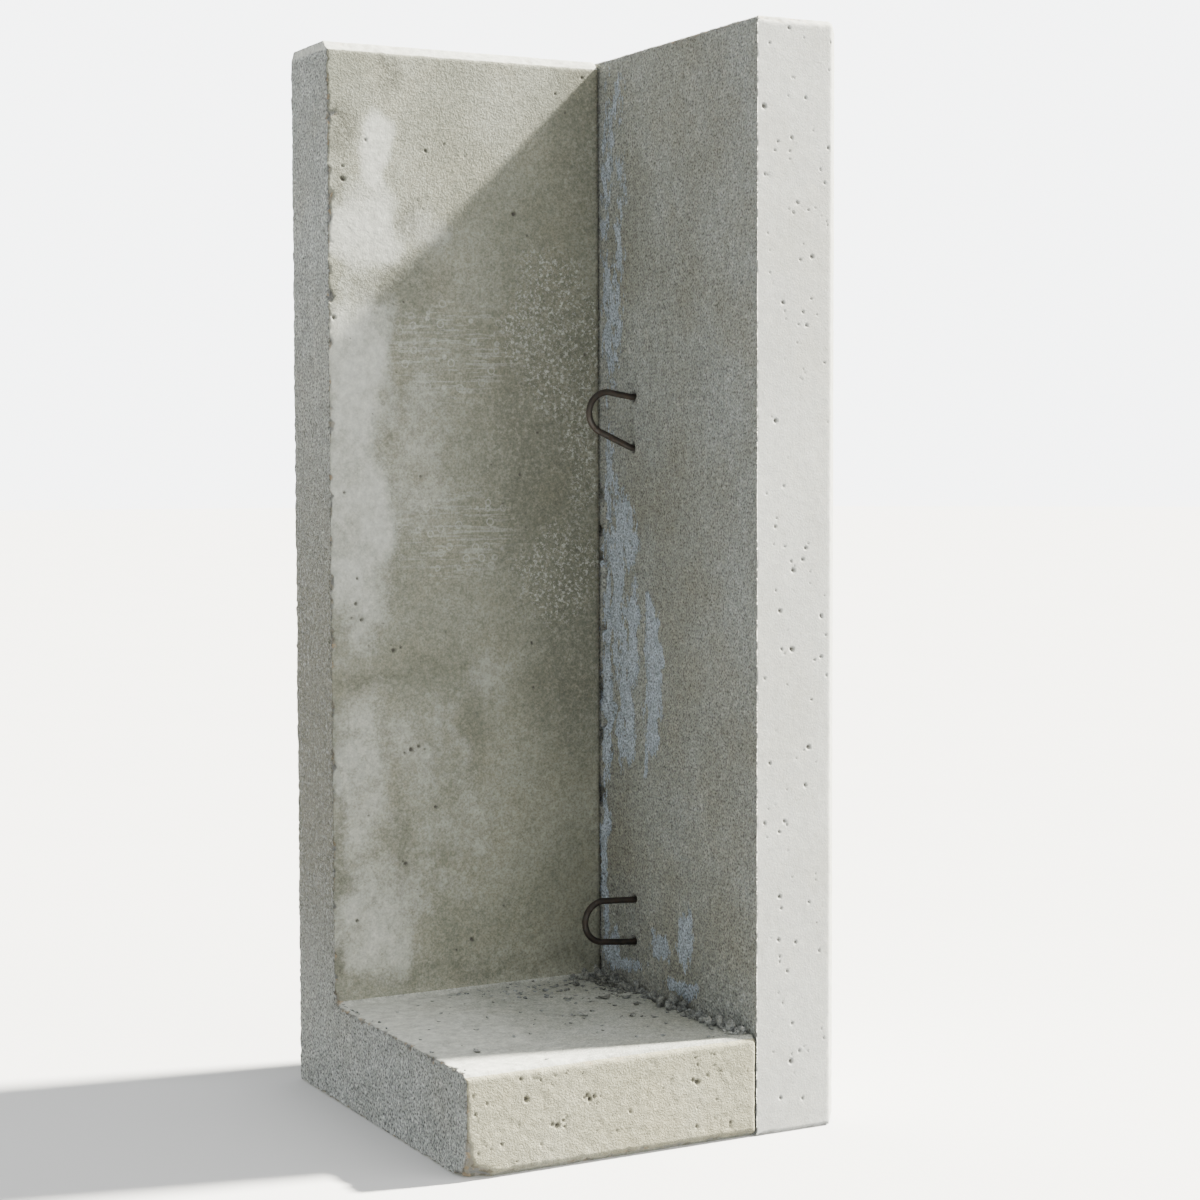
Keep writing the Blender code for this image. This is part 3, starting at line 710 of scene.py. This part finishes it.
class Shader:
    """A material's node tree, with short calls for the nodes used here."""

    def __init__(self, name):
        self.material = bpy.data.materials.new(name)
        self.material.use_nodes = True
        self.tree = self.material.node_tree
        self.surface = self.tree.nodes["Principled BSDF"]
        self.place = self.tree.nodes.new("ShaderNodeTexCoord").outputs["Object"]

    def put(self, kind, inputs, **settings):
        """Adds a node; each input is a socket to link or a value to set."""
        made = self.tree.nodes.new("ShaderNode" + kind)
        for name, value in settings.items():
            setattr(made, name, value)
        for key, value in inputs.items():
            if isinstance(value, bpy.types.NodeSocket):
                self.tree.links.new(value, made.inputs[key])
            else:
                made.inputs[key].default_value = value
        return made

    def scaled(self, size, seed):
        """Coordinates in which one unit is size metres; size may differ by axis."""
        sizes = np.broadcast_to(np.asarray(size, float), 3)
        inputs = {"Vector": self.place, "Location": (seed * 7.3,) * 3, "Scale": tuple(1 / sizes)}
        return self.put("Mapping", inputs).outputs["Vector"]

    def noise(self, size, seed, detail, roughness=0.5):
        inputs = {"Vector": self.scaled(size, seed), "Scale": 1.0, "Detail": detail,
                  "Roughness": roughness}
        return self.put("TexNoise", inputs).outputs["Fac"]

    def cells(self, size, seed, output="Distance"):
        inputs = {"Vector": self.scaled(size, seed), "Scale": 1.0}
        return self.put("TexVoronoi", inputs).outputs[output]

    def attribute(self, name):
        return self.put("Attribute", {}, attribute_name=name).outputs["Fac"]

    def math(self, operation, first, second=0.0):
        return self.put("Math", {0: first, 1: second}, operation=operation).outputs[0]

    def times(self, first, second):
        return self.math("MULTIPLY", first, second)

    def step(self, value, low, high):
        """0 below low, 1 above high and a smooth step between them."""
        inputs = {"Value": value, "From Min": low, "From Max": high}
        return self.put("MapRange", inputs, interpolation_type="SMOOTHSTEP").outputs["Result"]

    def mix(self, share, first, second, blend="MIX"):
        """Mixes two colours; blend is the mix node's blend type."""
        first, second = [(*c, 1) if isinstance(c, tuple) else c for c in (first, second)]
        inputs = {0: share, 6: first, 7: second}
        return self.put("Mix", inputs, data_type="RGBA", blend_type=blend).outputs[2]

    def bump(self, height, depth, under=None):
        inputs = {"Height": height, "Distance": depth, "Strength": 1.0}
        if under:
            inputs["Normal"] = under
        return self.put("Bump", inputs).outputs["Normal"]

    def finish(self, colour, roughness, normal):
        for name, value in (("Base Color", colour), ("Roughness", roughness), ("Normal", normal)):
            if isinstance(value, bpy.types.NodeSocket):
                self.tree.links.new(value, self.surface.inputs[name])
            else:
                self.surface.inputs[name].default_value = value
        return self.material


@dataclass
class Concrete:
    """How one kind of concrete looks.

    Its two tones cloud and mottle, with a tint in patches. Its fine grain and its coarse lumps
    have a depth each, and a contrast of painted shade in their lows and painted highlight on
    their highs; a trowelled face has arcs too.
    """

    pale: tuple
    dark: tuple
    tint: tuple
    tint_share: float = 0.4
    grain: float = 0.0024
    # Contrast of painted shade in the lows and painted highlight on the highs, for grain and lumps
    grain_shade_contrast: float = 0.25
    grain_depth: float = 0.0010
    coarse_shade_contrast: float = 0.12
    coarse_depth: float = 0.0008
    roughness: float = 0.9
    arc_depth: float = 0.0
    seed: int = 0


# Colours and sizes shared by every kind of concrete
# Colour of stains and of painted shade
STAIN_AND_SHADE = (0.11, 0.11, 0.08)
# Colour of laitance, marks and flecks, and of painted light
LAITANCE_AND_LIGHT = (0.63, 0.64, 0.575)
SLURRY = (0.47, 0.530, 0.585)
# Colour of painted shade inside air holes and round the loops' legs
HOLE_SHADE = (0.05, 0.045, 0.04)
AGGREGATES = [(0.13, 0.11, 0.08), (0.26, 0.24, 0.19), (0.18, 0.18, 0.17), (0.36, 0.27, 0.17)]
CLOUD_SIZE = 0.16
COARSE_LUMP = 0.010
ARC_SPACING = 0.018


def weathered_colour(s, look):
    """Clouds of two tones, patches of a tint, and mottling a few centimetres across."""
    clouds = s.step(s.noise(CLOUD_SIZE, look.seed, 5.0, 0.6), 0.34, 0.66)
    colour = s.mix(clouds, look.dark, look.pale)
    patches = s.step(s.noise(0.09, look.seed + 1, 5.0, 0.6), 0.42, 0.70)
    colour = s.mix(s.times(patches, look.tint_share), colour, look.tint)
    specks = s.step(s.noise(0.0035, look.seed + 4, 4.0, 0.7), 0.45, 0.62)
    colour = s.mix(s.times(specks, look.tint_share), colour, look.tint)
    mottle = s.step(s.noise(0.022, look.seed + 2, 5.0, 0.65), 0.38, 0.72)
    return s.mix(s.times(mottle, 0.40), colour, look.dark)


def marked_colour(s, colour, laitance_and_light):
    """Adds laitance with painted light, stains with painted shade, level water streaks with rings,
    and pale flecks.
    """
    # Laitance, and painted light on the top edge, the foot and the stem's left side
    colour = s.mix(s.times(laitance_and_light, 0.85), colour, LAITANCE_AND_LIGHT)
    # Stains and painted shade, broken into blots
    blots = s.step(s.noise(0.006, 5, 5.0, 0.75), 0.32, 0.56)
    stain_and_shade = s.times(s.attribute("stain_and_shade"), blots)
    colour = s.mix(s.times(stain_and_shade, 0.80), colour, STAIN_AND_SHADE)
    streaks = s.step(s.noise((0.050, 0.05, 0.0035), 6, 4.0, 0.6), 0.50, 0.62)
    ring = s.math("ABSOLUTE", s.math("SUBTRACT", s.cells(0.017, 10), 0.26))
    rings = s.step(ring, 0.07, 0.02)
    drawn = s.math("MAXIMUM", s.times(streaks, 0.7), rings)
    drawn = s.times(s.attribute("marks"), drawn)
    colour = s.mix(s.times(drawn, 0.38), colour, LAITANCE_AND_LIGHT)
    flecks = s.step(s.noise(0.005, 7, 5.0, 0.8), 0.54, 0.58)
    flecks = s.times(s.step(s.attribute("flecks"), 0.0, 0.6), flecks)
    return s.mix(s.times(flecks, 0.55), colour, LAITANCE_AND_LIGHT)


def slurry_cover(s):
    """The painted slurry with ragged edges, torn along the trowel's up and down strokes."""
    painted = s.attribute("slurry")
    torn = s.times(s.noise((0.010, 0.010, 0.024), 8, 6.0, 0.75), 3.0)
    cover = s.step(s.math("ADD", painted, torn), 1.85, 1.94)
    return s.times(cover, s.step(painted, 0.05, 0.20))


def stone_colour(s):
    """Aggregate of several colours, as a broken edge shows it."""
    stones = s.put("ValToRGB", {"Fac": s.cells(0.006, 9, "Color")})
    ramp = stones.color_ramp
    ramp.interpolation = "CONSTANT"
    for index, stone in enumerate(AGGREGATES):
        stop = ramp.elements[index] if index < 2 else ramp.elements.new(index / len(AGGREGATES))
        stop.position = index / len(AGGREGATES)
        stop.color = (*stone, 1)
    return stones.outputs["Color"]


def trowel_arcs(s):
    """Uneven arcs round the trowel's centre, kept only in large patches."""
    inputs = {"Vector": s.place, "Location": TROWEL_CENTER, "Scale": (ARC_SPACING,) * 3}
    around = s.put("Mapping", inputs, vector_type="TEXTURE").outputs["Vector"]
    inputs = {"Vector": around, "Scale": 1.0, "Distortion": 5.0, "Detail": 4.0, "Detail Scale": 0.6}
    waves = s.put("TexWave", inputs, wave_type="RINGS", rings_direction="SPHERICAL").outputs["Fac"]
    kept = s.step(s.noise(0.12, 12, 3.0), 0.35, 0.65)
    return s.times(waves, kept)


def shaded_by_height(s, colour, height, contrast):
    """Painted shade and highlight: darkens the colour where height is low and lightens it where it
    is high.
    """
    inputs = {"Value": height, "From Min": 0.35, "From Max": 0.65, "To Min": 1 - contrast,
              "To Max": 1 + contrast}
    return s.mix(1.0, colour, s.put("MapRange", inputs).outputs["Result"], "MULTIPLY")


def concrete(name, look):
    """Weathered concrete: clouds, marks, slurry and grain, then chips and air holes; painted light
    and shade ride on the marks, the grain and the air holes.
    """
    s = Shader(name)
    worn = s.times(s.noise(0.030, 4, 7.0, 0.70), 1.2)
    laitance_and_light = s.step(s.math("ADD", s.attribute("laitance_and_light"), worn), 0.75, 1.65)
    colour = marked_colour(s, weathered_colour(s, look), laitance_and_light)
    slurry = slurry_cover(s)
    colour = s.mix(s.times(slurry, 0.92), colour, SLURRY)
    grain = s.noise(look.grain, look.seed + 3, 3.0, 0.65)
    coarse = s.noise(COARSE_LUMP, look.seed + 9, 4.0, 0.6)
    rougher = s.math("SUBTRACT", 1.0, s.times(laitance_and_light, 0.8))
    grain = s.math("ADD", s.times(s.math("SUBTRACT", grain, 0.5), rougher), 0.5)
    # Painted shade in the lows and painted highlight on the highs of the lumps and the grain
    colour = shaded_by_height(s, colour, coarse, look.coarse_shade_contrast)
    colour = shaded_by_height(s, colour, grain, look.grain_shade_contrast)
    colour = s.mix(s.times(s.attribute("broken"), 0.8), colour, stone_colour(s))
    # Painted shade inside the air holes and the hollows round the loops' legs
    colour = s.mix(s.times(s.attribute("hole"), 0.85), colour, HOLE_SHADE)
    normal = s.bump(coarse, look.coarse_depth)
    normal = s.bump(s.math("ADD", grain, s.times(slurry, 0.4)), look.grain_depth, normal)
    if look.arc_depth:
        normal = s.bump(trowel_arcs(s), look.arc_depth, normal)
    return s.finish(colour, look.roughness, normal)


CONCRETES = {
    "mould_face": Concrete(pale=(0.320, 0.326, 0.264), dark=(0.210, 0.216, 0.166),
                           tint=(0.27, 0.255, 0.180), tint_share=0.35,
                           grain_shade_contrast=0.28, grain_depth=0.0012, seed=1),
    "foot_face": Concrete(pale=(0.45, 0.435, 0.320), dark=(0.36, 0.345, 0.240),
                          tint=(0.41, 0.370, 0.230), grain_shade_contrast=0.20,
                          grain_depth=0.0014, coarse_depth=0.0014, seed=10),
    "foot_top": Concrete(pale=(0.46, 0.475, 0.435), dark=(0.36, 0.372, 0.330),
                         tint=(0.37, 0.362, 0.290), grain_shade_contrast=0.32,
                         grain_depth=0.0014, coarse_shade_contrast=0.16, seed=15),
    "pour_face": Concrete(pale=(0.46, 0.485, 0.465), dark=(0.36, 0.380, 0.355),
                          tint=(0.37, 0.365, 0.310), grain=0.0032,
                          grain_shade_contrast=0.85, grain_depth=0.0048, coarse_shade_contrast=0.26,
                          coarse_depth=0.0016, roughness=0.7, seed=20),
    "trowelled_face": Concrete(pale=(0.425, 0.448, 0.425), dark=(0.320, 0.328, 0.290),
                               tint=(0.30, 0.282, 0.210), grain=0.0028,
                               grain_shade_contrast=0.62, grain_depth=0.0052, coarse_shade_contrast=0.20,
                               roughness=0.65, arc_depth=0.0008, seed=40),
    "smooth_face": Concrete(pale=(0.68, 0.690, 0.635), dark=(0.59, 0.595, 0.545),
                            tint=(0.58, 0.565, 0.460), tint_share=0.35, grain_shade_contrast=0.09,
                            grain_depth=0.0003, coarse_shade_contrast=0.06, coarse_depth=0.0003, seed=60),
    # Darker and greyer than the castings; the dark tone is partly painted shade where the crumbs
    # lie in shade
    "crumbs": Concrete(pale=(0.30, 0.320, 0.315), dark=(0.17, 0.180, 0.170),
                       tint=(0.22, 0.205, 0.150), tint_share=0.35, grain_shade_contrast=0.50,
                       grain_depth=0.0016, coarse_shade_contrast=0.40, seed=80),
}


def rusty_steel(name, dark, rust, rust_share):
    """Bar with old dark rust, brighter in patches."""
    s = Shader(name)
    patches = s.step(s.noise(0.006, 1, 4.0, 0.7), 0.40, 0.65)
    colour = s.mix(s.times(patches, rust_share), dark, rust)
    scale = s.noise(0.0012, 2, 4.0, 0.6)
    roughness = s.math("ADD", 0.45, s.times(patches, 0.35))
    s.surface.inputs["Metallic"].default_value = 0.4
    return s.finish(colour, roughness, s.bump(scale, 0.0003))


def spacer_concrete():
    """Smooth dark factory-made concrete of the spacers."""
    s = Shader("spacer_concrete")
    colour = s.mix(s.noise(0.004, 1, 4.0), (0.24, 0.24, 0.23), (0.38, 0.38, 0.36))
    return s.finish(colour, 0.8, s.bump(s.noise(0.001, 2, 3.0), 0.0002))


def dress_cad_nodes():
    """Materials for the CAD nodes that stay: the cage and the spacers."""
    steel = rusty_steel("cage_steel", (0.16, 0.12, 0.09), (0.30, 0.15, 0.07), 0.6)
    spacer = spacer_concrete()
    slots = {part["node"]: part["material_slot"] for part in frame["record"]["subparts"]}
    for name, node in frame["nodes"].items():
        finish = spacer if slots[name] == "spacer_concrete" else steel
        for place in node.material_slots:
            place.material = finish


# Lifting loops

def loop_line(loop):
    """Points along a loop: in from one leg, round the half circle and back along the other."""
    tilt = math.radians(loop["tilt"])
    outward = Vector((-math.cos(tilt), 0, math.sin(tilt)))
    upward = Vector((math.sin(tilt), 0, math.cos(tilt)))
    face = Vector((PANEL_FACE, LOOP_Y, loop["height"]))
    center = face + outward * (loop["reach"] - LOOP_BEND_RADIUS)
    points = []
    for turn in np.linspace(0, math.pi, LOOP_TURN_POINTS):
        spoke = math.cos(turn) * upward + math.sin(turn) * outward
        points.append(center + LOOP_BEND_RADIUS * spoke)
    legs = []
    for side, bend_end in ((1, points[0]), (-1, points[-1])):
        exit_point = face + Vector((0, 0, side * loop["spacing"] / 2))
        shares = np.linspace(0, 1, LOOP_LEG_POINTS, endpoint=False)
        leg = [exit_point.lerp(bend_end, share) for share in shares]
        legs.append([exit_point + Vector((LOOP_EMBEDDED, 0, 0)), *leg])
    return legs[0] + points + legs[1][::-1]


def build_loop(name, loop, material):
    """A round bar along the loop's line, with the slight swellings of old rust."""
    line = loop_line(loop)
    shape = bmesh.new()
    rings = []
    across = Vector((0, 1, 0))
    for index, point in enumerate(line):
        before = line[max(index - 1, 0)]
        after = line[min(index + 1, len(line) - 1)]
        third = (after - before).normalized().cross(across)
        ring = []
        for side in range(LOOP_SIDES):
            turn = 2 * math.pi * side / LOOP_SIDES
            spoke = math.cos(turn) * across + math.sin(turn) * third
            swell = 1 + LOOP_RUST * noise.noise((point + spoke * LOOP_BAR) / LOOP_RUST_SIZE)
            ring.append(shape.verts.new(point + spoke * LOOP_BAR / 2 * swell))
        rings.append(ring)
    for ring, following in zip(rings, rings[1:]):
        for side in range(LOOP_SIDES):
            after = (side + 1) % LOOP_SIDES
            shape.faces.new((ring[side], ring[after], following[after], following[side]))
    shape.faces.new(rings[0])
    shape.faces.new(rings[-1])
    bmesh.ops.recalc_face_normals(shape, faces=shape.faces)
    mesh = bpy.data.meshes.new(name)
    shape.to_mesh(mesh)
    shape.free()
    mesh.shade_smooth()
    mesh.materials.append(material)
    add_piece(name + "_bar", mesh, name)


# Crumbs and flakes on the foot

CRUMB_SINK = 0.0008  # below the foot's CAD plane, which the visible surface lies just under
CRUMB_BREAKS = 6  # planes that each crumb is broken along
CRUMB_COUNT = 480  # along the panel
CRUMB_HALVES = (0.0014, 0.0062)
CRUMB_SHAPES = ((0.8, 0.6, 0.15), (1.4, 1.0, 0.5))
SPECK_COUNT = 260  # smaller ones, thinning out from the inner corner
SPECK_SPREAD = 0.10
SPECK_HALVES = (0.0008, 0.0030)
SPECK_SHAPE = np.array((1.3, 0.9, 0.4))
LUMP_SHAPE = np.array((0.7, 0.6, 1.0))
FLAKE_SHAPE = np.array((1.0, 0.6, 0.15))
LUMPS = [  # place along X and Y, half height
    (0.117, -0.080, 0.0140), (0.106, -0.070, 0.0095), (0.121, -0.100, 0.0090),
    (0.104, -0.090, 0.0080), (0.113, -0.196, 0.0100), (0.104, -0.185, 0.0075),
    (0.118, -0.214, 0.0090), (0.121, -0.232, 0.0060), (0.113, 0.103, 0.0110),
    (0.096, 0.108, 0.0090), (0.118, 0.070, 0.0090), (0.120, 0.020, 0.0080),
    (0.119, -0.030, 0.0070), (0.117, -0.145, 0.0075), (0.080, 0.112, 0.0060),
]
FLAKES = [  # place along X and Y, half length
    (-0.188, -0.164, 0.0075), (-0.144, -0.069, 0.0045), (-0.166, -0.010, 0.0035),
    (0.068, 0.004, 0.0120), (0.090, -0.008, 0.0090), (0.051, -0.095, 0.0085),
    (0.073, -0.113, 0.0060), (-0.010, -0.060, 0.0060), (0.000, -0.066, 0.0080),
    (0.040, 0.090, 0.0080), (0.070, 0.085, 0.0110), (-0.020, 0.050, 0.0055),
    (0.020, 0.075, 0.0070), (0.020, -0.050, 0.0050), (-0.120, -0.120, 0.0045),
    (0.100, 0.060, 0.0090), (0.095, 0.035, 0.0080), (0.085, -0.045, 0.0070),
]


def unit_ball():
    """Points and triangles of a small round mesh."""
    shape = bmesh.new()
    bmesh.ops.create_icosphere(shape, subdivisions=2, radius=1)
    shape.verts.index_update()
    points = np.array([vertex.co for vertex in shape.verts])
    triangles = np.array([[vertex.index for vertex in face.verts] for face in shape.faces])
    shape.free()
    return points, triangles


def foot_height(y):
    """Height of the foot's top, which rises to the stem in a fillet."""
    into = max(y - STEM_FACE + HAUNCH_RADIUS, 0)
    return FOOT_TOP + HAUNCH_RADIUS - math.sqrt(HAUNCH_RADIUS**2 - into**2)


def crumb(ball, place, size, random, bend, lean=0.4):
    """A ball broken along planes, resting at place; size is its half widths, bend curls it up."""
    points = ball.copy()
    for _ in range(CRUMB_BREAKS):
        across = random.normal(size=3)
        across /= np.linalg.norm(across)
        excess = np.maximum(points @ across - random.uniform(0.40, 0.85), 0)
        points -= excess[:, None] * across
    points *= size
    points[:, 2] += bend * points[:, 0] ** 2 / size[0]
    turn = Matrix.Rotation(random.uniform(0, 2 * math.pi), 3, "Z")
    turn = turn @ Matrix.Rotation(random.uniform(-lean, lean), 3, "X")
    points = points @ np.array(turn).T
    lift = foot_height(place[1]) - CRUMB_SINK - points[:, 2].min()
    return points + (place[0], place[1], lift)


def build_crumbs(material):
    """Crumbs along the panel and in the inner corner, a few lumps, and curled flakes of slurry."""
    random = np.random.default_rng(SEED)
    ball, triangles = unit_ball()
    crumbs = []
    for _ in range(CRUMB_COUNT):
        y = random.uniform(FRONT + 0.012, STEM_FACE - 0.006)
        pile = 1 + 1.5 * fade(y, 0.02, STEM_FACE)
        half = random.uniform(*CRUMB_HALVES)
        place = (PANEL_FACE - 0.001 - half - abs(random.normal(0, 0.008 * pile)), y)
        size = half * random.uniform(*CRUMB_SHAPES)
        crumbs.append(crumb(ball, place, size, random, 0.1, 1.0))
    for _ in range(SPECK_COUNT):
        away = random.exponential(SPECK_SPREAD, 2)
        x = max(PANEL_FACE - 0.01 - away[0], LEFT + 0.01)
        y = max(STEM_FACE - 0.006 - away[1], FRONT + 0.02)
        size = random.uniform(*SPECK_HALVES) * SPECK_SHAPE
        crumbs.append(crumb(ball, (x, y), size, random, 0.3))
    for x, y, half in LUMPS:
        crumbs.append(crumb(ball, (x, y), half * LUMP_SHAPE, random, 0.0, 0.5))
    for x, y, half in FLAKES:
        crumbs.append(crumb(ball, (x, y), half * FLAKE_SHAPE, random, 0.4, 0.25))
    starts = np.arange(len(crumbs)) * len(ball)
    faces = (triangles[None] + starts[:, None, None]).reshape(-1, 3)
    mesh = bpy.data.meshes.new("crumbs")
    mesh.from_pydata(np.concatenate(crumbs).tolist(), [], faces.tolist())
    mesh.materials.append(material)
    add_piece("concrete_crumbs", mesh)


# Stage, lights and camera

KEY_STRENGTH = 32.0
FRONT_STRENGTH = 2.4
FILL_STRENGTH = 0.80
BACKGROUND_STRENGTH = 6.2  # what the camera sees behind the floor, as bright as the floor
FLOOR_RADIUS = 30
CAMERA_PLACE = (-1.3545, -2.6168, 0.8063)
CAMERA_ANGLES = (0.4856, -0.0557, -0.0033)  # yaw from +Y towards +X, pitch and roll, in radians
CAMERA_LENS = 72.46
CAMERA_SENSOR = 36
CAMERA_SHIFT = (0.0202, -0.0149)


def build_stage():
    """A plain pale floor, which adds no light of its own to the object."""
    bpy.ops.mesh.primitive_circle_add(vertices=64, radius=FLOOR_RADIUS, fill_type="NGON")
    floor = bpy.context.object
    floor.name = "floor"
    floor.visible_diffuse = False
    s = Shader("floor_paint")
    colour = s.mix(s.noise(0.4, 1, 3.0), (0.80, 0.80, 0.79), (0.83, 0.83, 0.82))
    floor.data.materials.append(s.finish(colour, 0.9, s.bump(s.noise(0.01, 2, 2.0), 0.0002)))


def add_light(name, towards, strength, spread, colour):
    """A distant light seen in the direction towards, spread degrees wide."""
    light = bpy.data.lights.new(name, "SUN")
    light.energy = strength
    light.angle = math.radians(spread)
    light.color = colour
    lamp = bpy.data.objects.new(name, light)
    lamp.rotation_euler = Vector(towards).to_track_quat("Z", "Y").to_euler()
    bpy.context.collection.objects.link(lamp)


def build_lights():
    """A key from the panel's side, high and just in front, a broad front light and an even fill."""
    add_light("key", (1, -0.18, 0.96), KEY_STRENGTH, 4, (1.0, 0.965, 0.87))
    add_light("front", (0.6, -1, 0.55), FRONT_STRENGTH, 60, (1.0, 0.99, 0.97))
    world = bpy.data.worlds.new("fill")
    world.use_nodes = True
    tree = world.node_tree
    background = tree.nodes["Background"]
    background.inputs["Color"].default_value = (0.965, 0.985, 1.0, 1)
    seen = tree.nodes.new("ShaderNodeLightPath").outputs["Is Camera Ray"]
    strength = tree.nodes.new("ShaderNodeMapRange")
    strength.inputs["To Min"].default_value = FILL_STRENGTH
    strength.inputs["To Max"].default_value = BACKGROUND_STRENGTH
    tree.links.new(seen, strength.inputs["Value"])
    tree.links.new(strength.outputs["Result"], background.inputs["Strength"])
    bpy.context.scene.world = world


def build_camera():
    """The view from the front left, a little above half height, looking slightly down."""
    camera = bpy.data.cameras.new("camera")
    camera.sensor_width = CAMERA_SENSOR
    camera.lens = CAMERA_LENS
    camera.shift_x, camera.shift_y = CAMERA_SHIFT
    yaw, pitch, roll = CAMERA_ANGLES
    onward = math.cos(pitch)
    forward = Vector((math.sin(yaw) * onward, math.cos(yaw) * onward, math.sin(pitch)))
    level = Vector((math.cos(yaw), -math.sin(yaw), 0))
    upright = level.cross(forward)
    right = math.cos(roll) * level + math.sin(roll) * upright
    up = right.cross(forward)
    turn = Matrix((right, up, -forward)).transposed().to_4x4()
    holder = bpy.data.objects.new("camera", camera)
    holder.matrix_world = Matrix.Translation(CAMERA_PLACE) @ turn
    bpy.context.collection.objects.link(holder)
    bpy.context.scene.camera = holder


build_camera()
build_lights()
build_stage()
dress_cad_nodes()
finishes = {name: concrete(name + "_concrete", look) for name, look in CONCRETES.items()}
build_stem_and_foot(finishes)
build_side_panel(finishes)
build_crumbs(finishes["crumbs"])
loop_steel = rusty_steel("loop_steel", (0.013, 0.011, 0.009), (0.042, 0.028, 0.019), 0.6)
for loop_name, loop_sizes in LOOPS.items():
    build_loop(loop_name, loop_sizes, loop_steel)
